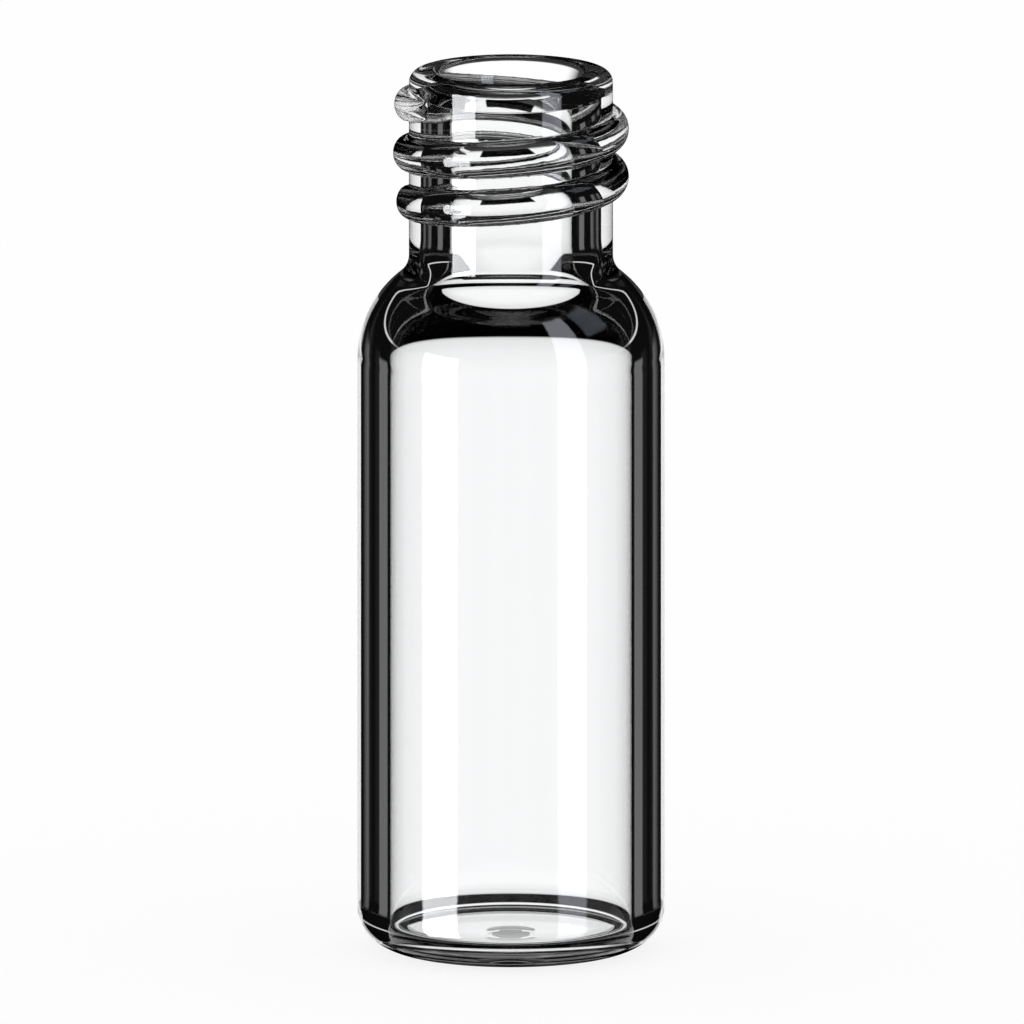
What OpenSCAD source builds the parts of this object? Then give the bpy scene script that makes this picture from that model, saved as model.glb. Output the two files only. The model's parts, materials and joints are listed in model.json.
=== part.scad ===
// Glass sample vial: a tube of clear glass drawn in to a short screw-thread
// neck at one end and closed with a flat foot at the other. One piece of glass.
// Millimetres. The axis is Z and the foot stands on Z = 0.

/* [Body] */
// Outside diameter of the tube
body_d = 11.6; // [9:0.1:16]
// Thickness of the tube's wall
wall_t = 1.24; // [0.9:0.02:1.5]
// Height of the whole vial, foot to rim
vial_h = 33.65; // [26:0.05:50]

/* [Foot] */
// Thickness of the glass under the hollow
floor_t = 0.9; // [0.7:0.05:1.6]
// How far the rounded heel reaches in from the side
heel_w = 1.9; // [1.6:0.05:2.2]
// How far the rounded heel reaches up the side
heel_h = 1.6; // [1.2:0.05:2]
// Radius of the corner between the inside wall and the floor
corner_r = 0.15; // [0.1:0.05:0.8]
// Diameter of the small hollow in the middle of the foot
kick_d = 1.8; // [1:0.1:3]
// Depth of the small hollow in the middle of the foot
kick_h = 0.22; // [0.1:0.02:0.3]

/* [Shoulder] */
// Outside radius of the shoulder, from the tube's side towards the neck
shoulder_r = 4.15; // [3.8:0.05:4.4]
// Inside radius of the shoulder
inner_shoulder_r = 2.5; // [2:0.05:3]
// Radius of the outside hollow where the neck meets the shoulder
neck_fillet_r = 0.95; // [0.6:0.05:1.2]
// Radius of the inside swell where the bore opens into the shoulder
throat_r = 3.3; // [2.4:0.05:4]

/* [Neck] */
// Outside diameter of the neck, between the turns of the thread
neck_d = 7.7; // [7.6:0.05:8.4]
// Diameter of the bore through the neck
bore_d = 4.6; // [4.2:0.05:5]
// Diameter of the mouth, where the bore flares open
mouth_d = 5.4; // [5.1:0.05:5.8]
// Slope of the flare, away from the axis
flare_angle = 24; // [15:1:40]
// Length of the neck, from the rim to the hollow at its foot
neck_h = 7.05; // [6.8:0.05:9]
// Radius of the rim's outer edge
rim_outer_r = 0.45; // [0.3:0.05:0.5]
// Radius of the rim's inner edge
rim_inner_r = 0.3; // [0.2:0.05:0.35]

/* [Thread] */
// Diameter over the crest of the thread
crest_d = 8.9; // [8.5:0.05:9.6]
// Rise of the thread in one turn
pitch = 1.83; // [1.6:0.01:2.1]
// Width of the ridge where it leaves the neck
ridge_w = 1.36; // [1:0.02:1.5]
// Depth of the ridge's start below the rim, to its middle line
start_depth = 1.14; // [1:0.02:1.6]
// Number of turns, with the run-in and the run-out
turns = 2.22; // [1.5:0.01:2.3]
// Direction in which the thread starts, counter-clockwise from +X
start_angle = 215; // [0:5:355]
// Angle over which the ridge rises out of the neck at its start
run_in = 50; // [30:5:90]
// Angle over which the ridge sinks back into the neck at its end
run_out = 80; // [30:5:120]

/* [Hidden] */
$fn = 96;

// Colour of the glass
glass_colour = [0.86, 0.9, 0.92, 0.45];

// Straight steps in the section's rounded stretches and in its small edges
round_steps = 10;
edge_steps = 6;

// Radii that the section is built on
body_r = body_d / 2;
inside_r = body_r - wall_t;
neck_r = neck_d / 2;
bore_r = bore_d / 2;
mouth_r = mouth_d / 2;
kick_r = kick_d / 2;

// The shoulder is one arc outside and one inside, from the same height
shoulder_c = body_r - shoulder_r;
inner_shoulder_c = inside_r - inner_shoulder_r;

// Each shoulder arc touches the fillet next to it. Their centres lie this far
// apart across the axis and along the line between them.
outer_across = neck_r + neck_fillet_r - shoulder_c;
outer_apart = shoulder_r + neck_fillet_r;
inner_across = bore_r + throat_r - inner_shoulder_c;
inner_apart = inner_shoulder_r + throat_r;

// Angles at which they touch, from +R towards +Z
outer_meet = acos(outer_across / outer_apart);
inner_meet = acos(inner_across / inner_apart);

// Heights of the centres
neck_foot_z = vial_h - neck_h;
shoulder_z = neck_foot_z - outer_apart * sin(outer_meet);
throat_z = shoulder_z + inner_apart * sin(inner_meet);

// The flare is a cone that runs on from the rim's inner edge to the bore
flare_top_r = mouth_r + rim_inner_r * (1 - cos(flare_angle));
flare_top_z = vial_h - rim_inner_r * (1 - sin(flare_angle));
flare_foot_z = flare_top_z - (flare_top_r - bore_r) / tan(flare_angle);

// Thread ridge
ridge_h = (crest_d - neck_d) / 2;
ridge_root = 0.3;          // depth to which the ridge is sunk in the neck
ridge_foot = 0.25;         // height above its root at which its round top starts
ridge_steps = 8;           // steps across the rounded top of the ridge
ridge_turn_steps = 48;     // sections in one turn of the ridge
ridge_sweep = turns * 360;
ridge_sections = ceil(turns * ridge_turn_steps);

// Points of an arc about [cr, cz] with radii rr across and rz up, where an
// angle of 0 points away from the axis and 90 points up
function arc(cr, cz, rr, rz, from, to, steps) = [
    for (i = [0 : steps])
        let (a = from + (to - from) * i / steps)
        [cr + rr * cos(a), cz + rz * sin(a)]
];

// Points of a shallow hollow under a height z, from the axis out to radius r
function hollow(r, depth, z, steps) = let (ball = (pow(r, 2) + pow(depth, 2)) / (2 * depth)) [
    for (i = [0 : steps])
        let (x = r * i / steps)
        [x, z + depth - ball + sqrt(pow(ball, 2) - pow(x, 2))]
];

// Outer line of the section, from the middle of the foot to the rim's top
function outer_line() = concat(
    hollow(kick_r, kick_h, 0, edge_steps),
    arc(body_r - heel_w, heel_h, heel_w, heel_h, -90, 0, round_steps),
    arc(shoulder_c, shoulder_z, shoulder_r, shoulder_r, 0, outer_meet, round_steps),
    arc(neck_r + neck_fillet_r, neck_foot_z, neck_fillet_r, neck_fillet_r,
        180 + outer_meet, 180, edge_steps),
    arc(neck_r - rim_outer_r, vial_h - rim_outer_r, rim_outer_r, rim_outer_r, 0, 90, edge_steps)
);

// Inner line of the section, from the rim's top to the middle of the floor
function inner_line() = concat(
    arc(mouth_r + rim_inner_r, vial_h - rim_inner_r, rim_inner_r, rim_inner_r,
        90, 180 - flare_angle, edge_steps),
    [[bore_r, flare_foot_z]],
    arc(bore_r + throat_r, throat_z, throat_r, throat_r, 180, 180 + inner_meet, round_steps),
    arc(inner_shoulder_c, shoulder_z, inner_shoulder_r, inner_shoulder_r,
        inner_meet, 0, round_steps),
    arc(inside_r - corner_r, floor_t + corner_r, corner_r, corner_r, 0, -90, edge_steps),
    [[0, floor_t]]
);

// Share of its full height that the ridge has at an angle along it
function ridge_share(a) = sin(90 * min(1, a / run_in, (ridge_sweep - a) / run_out));

// One section of the ridge: its root in the glass, then over its half-round top
function ridge_section(a) = let (
    share = ridge_share(a),
    direction = start_angle - a,
    middle_z = vial_h - start_depth - pitch * a / 360,
    root_r = neck_r - ridge_root
) [
    for (i = [0 : ridge_steps + 2])
        let (
            over = 180 * min(1, max(0, (i - 1) / ridge_steps)),
            on_root = i == 0 || i == ridge_steps + 2,
            rise = ridge_foot + (ridge_root - ridge_foot + ridge_h) * share * sin(over),
            r = root_r + (on_root ? 0 : rise),
            z = middle_z - ridge_w / 2 * cos(over) * (0.5 + share / 2)
        )
        [r * cos(direction), r * sin(direction), z]
];

module glass_body() {
    rotate_extrude()
        polygon(concat(outer_line(), inner_line()));
}

// The ridge is one closed skin: rings of points along the helix, and two ends
module thread_ridge() {
    ring = ridge_steps + 3;
    sections = [for (k = [0 : ridge_sections]) ridge_section(ridge_sweep * k / ridge_sections)];
    points = [for (section = sections) for (point = section) point];
    last = ridge_sections * ring;
    sides = [
        for (k = [0 : ridge_sections - 1])
            for (i = [0 : ring - 1])
                let (a = k * ring + i, b = k * ring + (i + 1) % ring)
                [a, a + ring, b + ring, b]
    ];
    start_cap = [for (i = [0 : ring - 1]) i];
    end_cap = [for (i = [ring - 1 : -1 : 0]) last + i];
    polyhedron(points, concat(sides, [start_cap, end_cap]), convexity = 6);
}

module vial() {
    color(glass_colour)
        union() {
            glass_body();
            thread_ridge();
        }
}

vial();
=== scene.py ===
import bmesh
import bpy
import json
import math
from functools import partial
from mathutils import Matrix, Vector


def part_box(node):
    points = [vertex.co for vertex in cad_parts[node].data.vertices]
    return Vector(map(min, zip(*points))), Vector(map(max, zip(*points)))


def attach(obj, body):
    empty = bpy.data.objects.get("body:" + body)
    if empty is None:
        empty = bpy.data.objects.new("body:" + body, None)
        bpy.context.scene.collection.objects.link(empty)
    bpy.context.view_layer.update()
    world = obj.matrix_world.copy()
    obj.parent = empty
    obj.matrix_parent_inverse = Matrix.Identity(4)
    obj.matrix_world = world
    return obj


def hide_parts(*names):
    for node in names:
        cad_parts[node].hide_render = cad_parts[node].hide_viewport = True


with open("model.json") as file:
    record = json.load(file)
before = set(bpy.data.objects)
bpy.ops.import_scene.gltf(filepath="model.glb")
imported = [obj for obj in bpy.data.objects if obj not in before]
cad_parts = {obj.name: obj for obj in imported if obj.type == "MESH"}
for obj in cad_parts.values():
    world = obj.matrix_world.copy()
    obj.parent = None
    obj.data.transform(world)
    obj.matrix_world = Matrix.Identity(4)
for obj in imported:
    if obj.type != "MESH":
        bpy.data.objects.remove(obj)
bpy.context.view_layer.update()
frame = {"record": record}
mm = 0.001


# Sizes in millimetres. The tube's radius and the height come from the vial part's box in model.glb,
# and the bore's radius from the mouth in the record.
vialShape = {
    "wall": 1.24,                 # thickness of the tube
    "floorThickness": 0.9,
    "heelWidth": 1.9,             # rounded heel, across and up
    "heelHeight": 1.6,
    "floorCorner": 0.15,          # inside corner between wall and floor
    "kickRadius": 0.9,            # small hollow under the foot
    "kickDepth": 0.22,
    "shoulderRadius": 4.15,       # outside and inside
    "innerShoulder": 2.5,
    "neckFillet": 0.95,
    "throat": 3.3,                # swell where the bore opens into the shoulder
    "neckRadius": 3.85,
    "neckHeight": 7.05,
    "rimOuter": 0.45,
    "rimInner": 0.3,
    "mouthRadius": 2.7,
    "flareAngle": 24,             # slope of the mouth's flare, away from the axis
    "threadFoot": 0.6,            # plain neck below the rows that carry the thread
    "roundSteps": 256,            # faces round the tube
    "arcSteps": 22,               # faces along each rounded stretch of the section
    "smallArcSteps": 12,
    "threadRows": 116,            # rows of faces that the thread is raised from
    "support": 0.03,              # support rows this far from each tangent point,
    "supportMost": 0.3,           # or this share of a short run
    "sameRadius": 0.001,          # how near the neck's radius a row of the neck lies
    "rowNudge": 0.01,             # share of a row by which its height is taken a little high
    "closeDoubles": 0.0001,       # points as close as this are merged
}

threadShape = {
    "crestRadius": 4.45,
    "pitch": 1.83,
    "width": 1.36,
    "startDepth": 1.14,           # ridge's middle line below the rim, at its start
    "turns": 2.22,
    "startAngle": 215.0,          # degrees from +X, running clockwise seen from above
    "runIn": 50.0,                # degrees over which the ridge rises and sinks
    "runOut": 80.0,
}


def placeAt(vert, across, up):
    vert.co = (across * mm, 0, up * mm)
    return vert


# A straight run of the section, with a support row beside each end
def runTo(bm, last, across, up, rows=1):
    start = last.co.copy()
    end = Vector((across * mm, 0, up * mm))
    inset = min(vialShape["supportMost"], vialShape["support"] * mm / (end - start).length)
    shares = [inset] + [row / rows for row in range(1, rows)] + [1 - inset, 1]
    for share in shares:
        last = bmesh.ops.extrude_vert_indiv(bm, verts=[last])["verts"][0]
        last.co = start.lerp(end, share)
    return last


# A rounded stretch about a centre; a positive angle turns from across to up
def swing(bm, last, across, up, angle, steps=vialShape["arcSteps"]):
    made = bmesh.ops.spin(bm, geom=[last], cent=(across * mm, 0, up * mm), axis=(0, -1, 0),
                          angle=math.radians(angle), steps=steps, use_merge=False)
    return [item for item in made["geom_last"] if isinstance(item, bmesh.types.BMVert)][0]


# Where the shoulder's arcs lie, and the angles at which they meet the neck's
def shoulderPlaces(shape, tube, bore, height):
    outerAcross = tube - shape["shoulderRadius"]
    innerAcross = tube - shape["wall"] - shape["innerShoulder"]
    outerApart = shape["shoulderRadius"] + shape["neckFillet"]
    innerApart = shape["innerShoulder"] + shape["throat"]
    outerMeet = math.acos((shape["neckRadius"] + shape["neckFillet"] - outerAcross) / outerApart)
    innerMeet = math.acos((bore + shape["throat"] - innerAcross) / innerApart)
    neckFoot = height - shape["neckHeight"]
    shoulderUp = neckFoot - outerApart * math.sin(outerMeet)
    return {
        "outerAcross": outerAcross,
        "innerAcross": innerAcross,
        "outerMeet": math.degrees(outerMeet),
        "innerMeet": math.degrees(innerMeet),
        "neckFoot": neckFoot,
        "shoulderUp": shoulderUp,
        "throatUp": shoulderUp + innerApart * math.sin(innerMeet),
    }


# Foot and heel, from the axis to the bottom of the side
def traceFoot(bm, shape, tube):
    kick, depth = shape["kickRadius"], shape["kickDepth"]
    ball = (kick ** 2 + depth ** 2) / (2 * depth)
    last = placeAt(bm.verts.new(), 0, depth)
    last = swing(bm, last, 0, depth - ball, -math.degrees(math.asin(kick / ball)), shape["smallArcSteps"])
    last = runTo(bm, last, tube - shape["heelWidth"], 0)
    flat = set(bm.verts)
    last = swing(bm, last, tube - shape["heelWidth"], shape["heelWidth"], 90)
    heel = [vert for vert in bm.verts if vert not in flat]
    bmesh.ops.scale(bm, vec=(1, 1, shape["heelHeight"] / shape["heelWidth"]), verts=heel)
    return last


# Side, shoulder and neck, up to the rim's outer edge
def traceOutside(bm, last, shape, places, tube, height):
    few = shape["smallArcSteps"]
    neck, fillet = shape["neckRadius"], shape["neckFillet"]
    last = runTo(bm, last, tube, places["shoulderUp"])
    last = swing(bm, last, places["outerAcross"], places["shoulderUp"], places["outerMeet"])
    last = swing(bm, last, neck + fillet, places["neckFoot"], -places["outerMeet"], few)
    last = runTo(bm, last, neck, places["neckFoot"] + shape["threadFoot"])
    return runTo(bm, last, neck, height - shape["rimOuter"], shape["threadRows"])


# Rim, flare and bore
def traceMouth(bm, last, shape, places, bore, height):
    few = shape["smallArcSteps"]
    outer, inner = shape["rimOuter"], shape["rimInner"]
    mouth, flare = shape["mouthRadius"], shape["flareAngle"]
    last = swing(bm, last, shape["neckRadius"] - outer, height - outer, 90, few)
    last = runTo(bm, last, mouth + inner, height)
    last = swing(bm, last, mouth + inner, height - inner, 90 - flare, few)
    drop = (last.co.x / mm - bore) / math.tan(math.radians(flare))
    last = runTo(bm, last, bore, last.co.z / mm - drop)
    return runTo(bm, last, bore, places["throatUp"])


# Inside of the shoulder, wall and floor
def traceInside(bm, last, shape, places, tube, bore):
    corner, floor = shape["floorCorner"], shape["floorThickness"]
    inside = tube - shape["wall"]
    last = swing(bm, last, bore + shape["throat"], places["throatUp"], places["innerMeet"])
    last = swing(bm, last, places["innerAcross"], places["shoulderUp"], -places["innerMeet"])
    last = runTo(bm, last, inside, floor + corner)
    last = swing(bm, last, inside - corner, floor + corner, -90, shape["smallArcSteps"])
    runTo(bm, last, 0, floor)


# The ridge's turns at a direction (degrees): how full each is there, the height
# of its middle line and half its width
def turnsAt(direction, thread, height):
    sweep = thread["turns"] * 360
    along = (thread["startAngle"] - direction) % 360
    turns = []
    while along <= sweep:
        fullness = min(1, along / thread["runIn"], (sweep - along) / thread["runOut"])
        share = math.sin(math.radians(90 * fullness))
        middle = height - thread["startDepth"] - thread["pitch"] * along / 360
        turns.append((share, middle, thread["width"] * (0.5 + share / 2) / 2))
        along += 360
    return turns


# Height to which a row's point moves, so that a row lies along each edge of the
# ridge: the rows run level and the ridge doesn't
def besideRidge(up, turns, lowest, highest, spacing):
    stops = [(lowest, 0)]
    for middle, half in sorted(turn[1:] for turn in turns):
        for edge in (middle - half, middle + half):
            row = lowest + round((edge - lowest) / spacing) * spacing
            stops.append((row, edge - row))
    stops.append((highest, 0))
    for (low, lowMove), (high, highMove) in zip(stops, stops[1:]):
        if low <= up < high:
            return up + lowMove + (highMove - lowMove) * (up - low) / (high - low)
    return up


# Raises the half-round thread out of the neck's rows
def raiseThread(bm, shape, thread, neckFoot, height):
    neck = shape["neckRadius"]
    lowest = neckFoot + shape["threadFoot"]
    highest = height - shape["rimOuter"]
    spacing = (highest - lowest) / shape["threadRows"]
    nudge = spacing * shape["rowNudge"]
    for vert in bm.verts:
        radius = math.hypot(vert.co.x, vert.co.y) / mm
        up = vert.co.z / mm
        if abs(radius - neck) > shape["sameRadius"] or not lowest < up < highest - spacing / 2:
            continue
        turns = turnsAt(math.degrees(math.atan2(vert.co.y, vert.co.x)), thread, height)
        up = besideRidge(up + nudge, turns, lowest, highest, spacing) - nudge
        vert.co.z = up * mm
        for share, middle, half in turns:
            if abs(up - middle) < half:
                top = share * (thread["crestRadius"] - neck)
                rise = top * math.sqrt(1 - ((up - middle) / half) ** 2)
                vert.co.x *= 1 + rise / radius
                vert.co.y *= 1 + rise / radius
                break


# Turns a section about the axis
def turnRound(bm, shape):
    bmesh.ops.spin(bm, geom=bm.verts[:] + bm.edges[:], cent=(0, 0, 0), axis=(0, 0, 1),
                   angle=math.tau, steps=shape["roundSteps"], use_merge=True)
    bmesh.ops.remove_doubles(bm, verts=bm.verts, dist=shape["closeDoubles"] * mm)


def makeObject(bm, name):
    bmesh.ops.recalc_face_normals(bm, faces=bm.faces)
    for face in bm.faces:
        face.smooth = True
    mesh = bpy.data.meshes.new(name)
    bm.to_mesh(mesh)
    bm.free()
    made = bpy.data.objects.new(name, mesh)
    bpy.context.scene.collection.objects.link(made)
    print(name, "made,", sum(len(face.vertices) - 2 for face in mesh.polygons), "triangles")
    return made


def vialSizes():
    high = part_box("vial")[1]
    mounts = frame["record"]["mounts"]
    mouth = [mount for mount in mounts if mount["name"] == "mouth_bore"][0]
    return high.x / mm, mouth["dims"]["r_mm"], high.z / mm


def makeVial(shape):
    tube, bore, height = vialSizes()
    places = shoulderPlaces(shape, tube, bore, height)
    bm = bmesh.new()
    last = traceFoot(bm, shape, tube)
    last = traceOutside(bm, last, shape, places, tube, height)
    last = traceMouth(bm, last, shape, places, bore, height)
    traceInside(bm, last, shape, places, tube, bore)
    turnRound(bm, shape)
    raiseThread(bm, shape, threadShape, places["neckFoot"], height)
    return makeObject(bm, "vialGlass")


# Small helpers that add nodes to a tree
def join(tree, source, target):
    if isinstance(source, (int, float, tuple)):
        target.default_value = source
    else:
        tree.links.new(source, target)


def mathsNode(tree, operation, *values):
    node = tree.nodes.new("ShaderNodeMath")
    node.operation = operation
    for socket, value in zip(node.inputs, values):
        join(tree, value, socket)
    return node.outputs[0]


def vectorNode(tree, operation, *values):
    node = tree.nodes.new("ShaderNodeVectorMath")
    node.operation = operation
    sockets = [socket for socket in node.inputs if socket.enabled]
    for socket, value in zip(sockets, values):
        join(tree, value, socket)
    return node.outputs[0]


# From 0 to 1 between two values, softly at both ends
def blendNode(tree, value, low, high):
    node = tree.nodes.new("ShaderNodeMapRange")
    node.interpolation_type = "SMOOTHSTEP"
    join(tree, value, node.inputs["Value"])
    join(tree, low, node.inputs["From Min"])
    join(tree, high, node.inputs["From Max"])
    return node.outputs["Result"]


# 1 between two edges, each with a soft start and end
def bandNodes(tree, value, start, full, fade, end):
    falling = mathsNode(tree, "SUBTRACT", 1, blendNode(tree, value, fade, end))
    return mathsNode(tree, "MULTIPLY", blendNode(tree, value, start, full), falling)


# Noise on a piece's own coordinates, stretched by a scale along each axis
def noiseNode(tree, scale, detail=2.0):
    coordinates = tree.nodes.new("ShaderNodeTexCoord")
    mapping = tree.nodes.new("ShaderNodeMapping")
    mapping.inputs["Scale"].default_value = scale
    noise = tree.nodes.new("ShaderNodeTexNoise")
    noise.inputs["Scale"].default_value = 1
    noise.inputs["Detail"].default_value = detail
    join(tree, coordinates.outputs["Object"], mapping.inputs["Vector"])
    join(tree, mapping.outputs["Vector"], noise.inputs["Vector"])
    return noise.outputs["Fac"]


glassLook = {
    "ior": 1.47,                  # borosilicate
    "tints": [(0.99, 0.996, 1.0, 1.0), (0.998, 0.999, 1.0, 1.0)],
    "tintScale": (300, 300, 120),             # cloudiness of the tint, per metre
    "smudge": (0.0, 0.012),                   # least and most roughness
    "smudgeFrom": 0.55,                       # level of the noise above which a smudge starts
    "smudgeScale": (700, 700, 400),
    "drawScale": (900, 900, 60),              # faint lines left by drawing the tube
    "drawDepth": 0.0000006,                   # metres
    "formScale": (250, 250, 8000),            # lines that forming leaves along the thread
    "formDepth": 0.000002,
    "formAbove": 27.4,            # millimetres above the foot
    "formFrom": (3.88, 4.0),      # millimetres from the axis over which they start
    "paintedGlowFrom": 5.5,           # bounces after which a ray in the thread's glass gets a painted glow (emission, no lamp)
    "paintedThreadGlow": 0.2,           # painted glow that the thread's glass adds to the ray at each further bounce
}


def makeGlass(look):
    material = bpy.data.materials.new("clearDrawnGlass")
    material.use_nodes = True
    tree = material.node_tree
    shader = tree.nodes["Principled BSDF"]
    shader.inputs["IOR"].default_value = look["ior"]
    shader.inputs["Transmission Weight"].default_value = 1

    # a breath of uneven tint and a few smudges; the Mix node's colours are its sockets 6 and 7
    tint = tree.nodes.new("ShaderNodeMix")
    tint.data_type = "RGBA"
    join(tree, noiseNode(tree, look["tintScale"]), tint.inputs["Factor"])
    join(tree, look["tints"][0], tint.inputs[6])
    join(tree, look["tints"][1], tint.inputs[7])
    join(tree, tint.outputs[2], shader.inputs["Base Color"])
    smudge = tree.nodes.new("ShaderNodeMapRange")
    join(tree, noiseNode(tree, look["smudgeScale"]), smudge.inputs["Value"])
    join(tree, look["smudgeFrom"], smudge.inputs["From Min"])
    join(tree, look["smudge"][0], smudge.inputs["To Min"])
    join(tree, look["smudge"][1], smudge.inputs["To Max"])
    join(tree, smudge.outputs["Result"], shader.inputs["Roughness"])

    # the outside of the thread, by height and by distance from the axis
    coordinates = tree.nodes.new("ShaderNodeTexCoord")
    flat = vectorNode(tree, "MULTIPLY", coordinates.outputs["Object"], (1 / mm, 1 / mm, 0))
    across = tree.nodes.new("ShaderNodeVectorMath")
    across.operation = "LENGTH"
    join(tree, flat, across.inputs[0])
    split = tree.nodes.new("ShaderNodeSeparateXYZ")
    join(tree, coordinates.outputs["Object"], split.inputs[0])
    onNeck = mathsNode(tree, "GREATER_THAN", split.outputs["Z"], look["formAbove"] * mm)
    outside = blendNode(tree, across.outputs["Value"], *look["formFrom"])
    onRidge = mathsNode(tree, "MULTIPLY", onNeck, outside)

    # painted glow: the thread's glass emits light into rays past a set number of bounces, so its long
    # paths aren't left black
    path = tree.nodes.new("ShaderNodeLightPath")
    glowDepthMask = mathsNode(tree, "GREATER_THAN", path.outputs["Ray Depth"], look["paintedGlowFrom"])
    join(tree, mathsNode(tree, "MULTIPLY", glowDepthMask, onRidge), shader.inputs["Emission Color"])
    shader.inputs["Emission Strength"].default_value = look["paintedThreadGlow"]

    # drawing lines along the tube, forming lines along the thread
    drawn = tree.nodes.new("ShaderNodeBump")
    drawn.inputs["Distance"].default_value = look["drawDepth"]
    join(tree, noiseNode(tree, look["drawScale"]), drawn.inputs["Height"])
    formed = tree.nodes.new("ShaderNodeBump")
    formed.inputs["Distance"].default_value = look["formDepth"]
    lines = noiseNode(tree, look["formScale"])
    join(tree, mathsNode(tree, "MULTIPLY", lines, onRidge), formed.inputs["Height"])
    join(tree, drawn.outputs["Normal"], formed.inputs["Normal"])
    join(tree, formed.outputs["Normal"], shader.inputs["Normal"])
    return material


vial = makeVial(vialShape)
vial.data.materials.append(makeGlass(glassLook))
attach(vial, "root")
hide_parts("vial")


# What the glass shows. A ray that goes straight through sees the pale table below
# the horizon and a dark room above it; one that has been reflected inside the
# wall sees a dark room with a few pale cards; one off the outside, soft boxes.
surroundLook = {
    "fill": 0.6,                  # light that falls on the floor
    # degrees below the horizon, and the brightness there
    "below": [(1.7, 0.0), (1.9, 0.7), (3, 0.9), (4, 0.93), (6, 0.96), (8, 1.02), (10.3, 1.085),
              (14, 1.1), (26, 1.1), (30, 0.06), (41, 0.03), (53, 0.03), (57, 0.95)],
    "rampSpan": 90.0,             # degrees that the ramp covers
    "barTurn": (-11, -10, 9, 10),          # a black bar that lies across the table
    "barHeight": (-31, -28, -18.5, -17.5),
    "dark": 0.004,
    # degrees from the nearest quarter turn at which a card starts, is full, fades and ends
    "cards": [{"turn": (0, 13, 15, 19), "level": 0.12}, {"turn": (37, 40, 44, 60), "level": 0.15}],
    "halfQuarter": 45,            # degrees after which the cards run back again
    "cardHeight": (-17, -14, -7, -4),
    "ground": (-84, -72),         # degrees of elevation over which the pale ground fades
    "strip": (9.2, 9.9, 10.7, 11.4),          # a pale strip just above the horizon,
    "stripLevel": 0.7,
    "wideStrip": (4.5, 6.5, 14, 16),          # wider for rays that have crossed the inside
    "boxes": [
        {"left": -139, "right": -110, "soft": 1.2, "low": -30, "high": 14, "level": 17,
         "colour": (0.97, 0.98, 1)},
        {"left": 121, "right": 144, "soft": 1.5, "low": -30, "high": 54, "level": 4.5,
         "colour": (0.86, 0.9, 1)},
        {"left": 86, "right": 111, "soft": 2, "low": 30, "high": 54, "level": 1.2,
         "colour": (0.8, 0.88, 1)},
    ],
    "boxSoftness": 2,             # degrees at a box's lower and upper edges
    "anyBounce": 0.5,             # a ray that has bounced at least once counts more than this
    "crossedFrom": 3.5,           # and one that has crossed the whole vial, more surfaces than this
}


# Brightness of the table and the room, seen straight through the glass. The bar
# shows only to rays that have crossed the whole vial.
def tableNodes(tree, look, elevation, azimuth, crossed):
    ramp = tree.nodes.new("ShaderNodeValToRGB")
    down = mathsNode(tree, "MULTIPLY", elevation, -1 / look["rampSpan"])
    join(tree, down, ramp.inputs[0])
    stops = ramp.color_ramp.elements
    while len(stops) < len(look["below"]):
        stops.new(0.5)
    for stop, (angle, level) in zip(stops, look["below"]):
        stop.position = angle / look["rampSpan"]
        stop.color = (level, level, level, 1)
    across = mathsNode(tree, "MULTIPLY", bandNodes(tree, azimuth, *look["barTurn"]), crossed)
    bar = mathsNode(tree, "MULTIPLY", bandNodes(tree, elevation, *look["barHeight"]), across)
    return mathsNode(tree, "MULTIPLY", ramp.outputs["Color"], mathsNode(tree, "SUBTRACT", 1, bar))


# Brightness of what is seen after a reflection inside the wall
def roomNodes(tree, look, elevation, azimuth, crossed):
    upright = bandNodes(tree, elevation, *look["cardHeight"])
    folded = mathsNode(tree, "PINGPONG", azimuth, look["halfQuarter"])
    level = look["dark"]
    for card in look["cards"]:
        shape = mathsNode(tree, "MULTIPLY", bandNodes(tree, folded, *card["turn"]), upright)
        level = mathsNode(tree, "MULTIPLY_ADD", shape, card["level"], level)
    ground = mathsNode(tree, "SUBTRACT", 1, blendNode(tree, elevation, *look["ground"]))
    narrow = mathsNode(tree, "MULTIPLY", bandNodes(tree, elevation, *look["strip"]), look["stripLevel"])
    wide = mathsNode(tree, "MULTIPLY", bandNodes(tree, elevation, *look["wideStrip"]), crossed)
    strip = mathsNode(tree, "MAXIMUM", narrow, wide)
    return mathsNode(tree, "ADD", level, mathsNode(tree, "ADD", ground, strip))


# Colour of what is reflected off the outside
def boxNodes(tree, look, elevation, azimuth):
    seen = (0, 0, 0)
    for box in look["boxes"]:
        left, right, soft = box["left"], box["right"], box["soft"]
        low, high, edge = box["low"], box["high"], look["boxSoftness"]
        across = bandNodes(tree, azimuth, left - soft, left + soft, right - soft, right + soft)
        upright = bandNodes(tree, elevation, low - edge, low + edge, high - edge, high + edge)
        level = mathsNode(tree, "MULTIPLY", mathsNode(tree, "MULTIPLY", across, upright), box["level"])
        seen = vectorNode(tree, "MULTIPLY_ADD", level, box["colour"], seen)
    return seen


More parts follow.
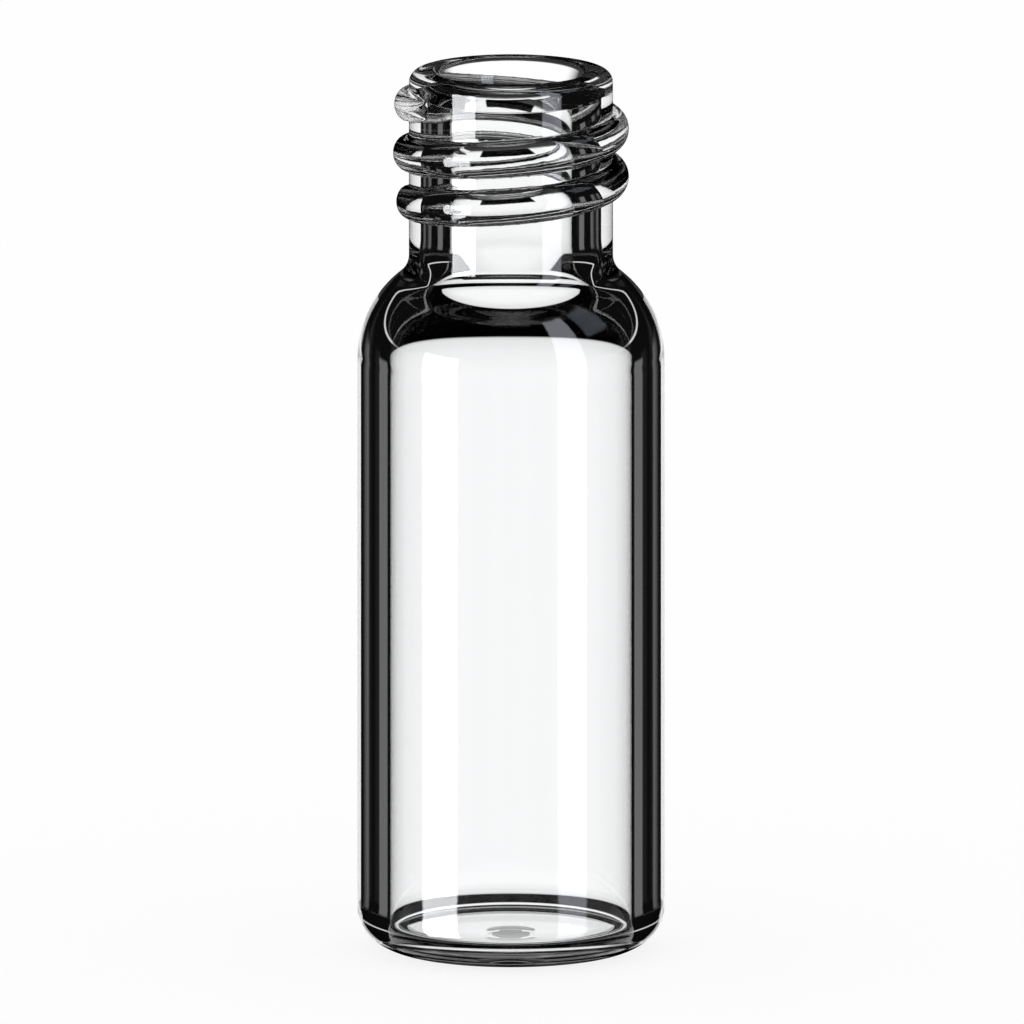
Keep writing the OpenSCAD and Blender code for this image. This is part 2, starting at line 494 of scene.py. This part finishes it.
def makeSurround(look):
    world = bpy.data.worlds.new("studioSurround")
    bpy.context.scene.world = world
    world.use_nodes = True
    tree = world.node_tree
    tree.nodes.clear()
    maths = partial(mathsNode, tree)
    coordinates = tree.nodes.new("ShaderNodeTexCoord")
    split = tree.nodes.new("ShaderNodeSeparateXYZ")
    join(tree, coordinates.outputs["Generated"], split.inputs[0])
    elevation = maths("DEGREES", maths("ARCSINE", split.outputs["Z"]))
    azimuth = maths("DEGREES", maths("ARCTAN2", split.outputs["X"], split.outputs["Y"]))

    path = tree.nodes.new("ShaderNodeLightPath")
    reflected = maths("GREATER_THAN", path.outputs["Glossy Depth"], look["anyBounce"])
    entered = maths("GREATER_THAN", path.outputs["Transmission Depth"], look["anyBounce"])
    crossed = maths("GREATER_THAN", path.outputs["Transmission Depth"], look["crossedFrom"])
    inWall = maths("MULTIPLY", reflected, entered)
    straight = maths("SUBTRACT", 1, reflected)
    outside = maths("MULTIPLY", reflected, maths("SUBTRACT", 1, entered))
    table = maths("MULTIPLY", straight, tableNodes(tree, look, elevation, azimuth, crossed))
    room = maths("MULTIPLY", inWall, roomNodes(tree, look, elevation, azimuth, crossed))
    boxes = vectorNode(tree, "MULTIPLY", boxNodes(tree, look, elevation, azimuth), outside)
    seen = vectorNode(tree, "ADD", maths("ADD", table, room), boxes)

    # the camera sees plain white, and the floor gets an even fill
    direct = path.outputs["Is Camera Ray"]
    fill = path.outputs["Is Diffuse Ray"]
    plain = maths("MULTIPLY_ADD", fill, look["fill"], direct)
    glassRay = maths("SUBTRACT", 1, maths("MAXIMUM", direct, fill))
    background = tree.nodes.new("ShaderNodeBackground")
    output = tree.nodes.new("ShaderNodeOutputWorld")
    join(tree, vectorNode(tree, "MULTIPLY_ADD", seen, glassRay, plain), background.inputs["Color"])
    join(tree, background.outputs[0], output.inputs[0])
    print("surround made")


# A clear sleeve just outside the glass, which lights only the rays that leave it at a glance
sleeveLook = {
    "gap": 0.06,                  # millimetres outside the glass
    "heelFrom": -50,              # degrees below the side at which it starts, on the heel
    "shoulderTo": 35,             # and above it, on the shoulder
    "facing": 0.748,              # how far round the edge the light starts
    "reflections": 1.5,           # only rays with one or two reflections behind them are lit:
    "spread": 1.0,                # those within this of that number
}


def makeSleeve(look, shape):
    tube, bore, height = vialSizes()
    places = shoulderPlaces(shape, tube, bore, height)
    heel, gap, turn = shape["heelWidth"], look["gap"], math.radians(look["heelFrom"])
    bm = bmesh.new()
    across = tube - heel + (heel + gap) * math.cos(turn)
    last = placeAt(bm.verts.new(), across, heel + (heel + gap) * math.sin(turn))
    last = swing(bm, last, tube - heel, heel, -look["heelFrom"])
    bmesh.ops.scale(bm, vec=(1, 1, shape["heelHeight"] / heel), verts=bm.verts)
    last = runTo(bm, last, tube + gap, places["shoulderUp"])
    swing(bm, last, places["outerAcross"], places["shoulderUp"], look["shoulderTo"])
    turnRound(bm, shape)
    sleeve = makeObject(bm, "edgeSleeve")

    material = bpy.data.materials.new("edgeLight")
    material.use_nodes = True
    tree = material.node_tree
    tree.nodes.clear()
    path = tree.nodes.new("ShaderNodeLightPath")
    weight = tree.nodes.new("ShaderNodeLayerWeight")
    glance = mathsNode(tree, "GREATER_THAN", weight.outputs["Facing"], look["facing"])
    reflections = mathsNode(tree, "SUBTRACT", path.outputs["Glossy Depth"], look["reflections"])
    few = mathsNode(tree, "LESS_THAN", mathsNode(tree, "ABSOLUTE", reflections), look["spread"])
    mix = tree.nodes.new("ShaderNodeMixShader")
    output = tree.nodes.new("ShaderNodeOutputMaterial")
    join(tree, mathsNode(tree, "MULTIPLY", glance, few), mix.inputs[0])
    join(tree, tree.nodes.new("ShaderNodeBsdfTransparent").outputs[0], mix.inputs[1])
    join(tree, tree.nodes.new("ShaderNodeEmission").outputs[0], mix.inputs[2])
    join(tree, mix.outputs[0], output.inputs["Surface"])
    sleeve.data.materials.append(material)


floorLook = {
    "size": 3.0,                  # metres
    "glow": 0.86,                 # what the camera sees without any light on it
    "paint": (0.22, 0.22, 0.22, 1),           # what the light adds, and the shadow takes away
    "below": 0.01,                # millimetres under the foot
}


def makeFloor(look):
    bm = bmesh.new()
    bmesh.ops.create_grid(bm, x_segments=1, y_segments=1, size=look["size"] / 2)
    bmesh.ops.translate(bm, vec=(0, 0, -look["below"] * mm), verts=bm.verts)
    floor = makeObject(bm, "tableTop")
    floor.visible_glossy = False
    floor.visible_transmission = False
    material = bpy.data.materials.new("paleTable")
    material.use_nodes = True
    shader = material.node_tree.nodes["Principled BSDF"]
    shader.inputs["Base Color"].default_value = look["paint"]
    shader.inputs["Specular IOR Level"].default_value = 0
    shader.inputs["Emission Color"].default_value = (1, 1, 1, 1)
    shader.inputs["Emission Strength"].default_value = look["glow"]
    floor.data.materials.append(material)


studio = {
    "azimuth": 0.0,
    "elevation": 10.3,
    "frameWidth": 38.64,          # millimetres across the picture
    "aimHeight": 16.715,
    "aimAcross": 0.04,
    "cameraDistance": 400.0,
    "clip": (0.01, 10.0),         # metres
    "bounces": {"max_bounces": 24, "glossy_bounces": 12, "transmission_bounces": 16},
}


def makeCamera(look):
    data = bpy.data.cameras.new("camera")
    camera = bpy.data.objects.new("camera", data)
    bpy.context.scene.collection.objects.link(camera)
    bpy.context.scene.camera = camera
    data.type = "ORTHO"
    data.ortho_scale = look["frameWidth"] * mm
    data.clip_start, data.clip_end = look["clip"]
    azimuth, elevation = math.radians(look["azimuth"]), math.radians(look["elevation"])
    forward = (-math.sin(azimuth), math.cos(azimuth), -math.tan(elevation))
    sight = Vector(forward).normalized()
    target = Vector((look["aimAcross"], 0, look["aimHeight"])) * mm
    camera.location = target - sight * look["cameraDistance"] * mm
    camera.rotation_euler = sight.to_track_quat("-Z", "Y").to_euler()
    print("camera set")


makeSurround(surroundLook)
makeSleeve(sleeveLook, vialShape)
makeFloor(floorLook)
makeCamera(studio)
scene = bpy.context.scene
scene.view_settings.view_transform = "Standard"
for name, count in studio["bounces"].items():
    setattr(scene.cycles, name, count)
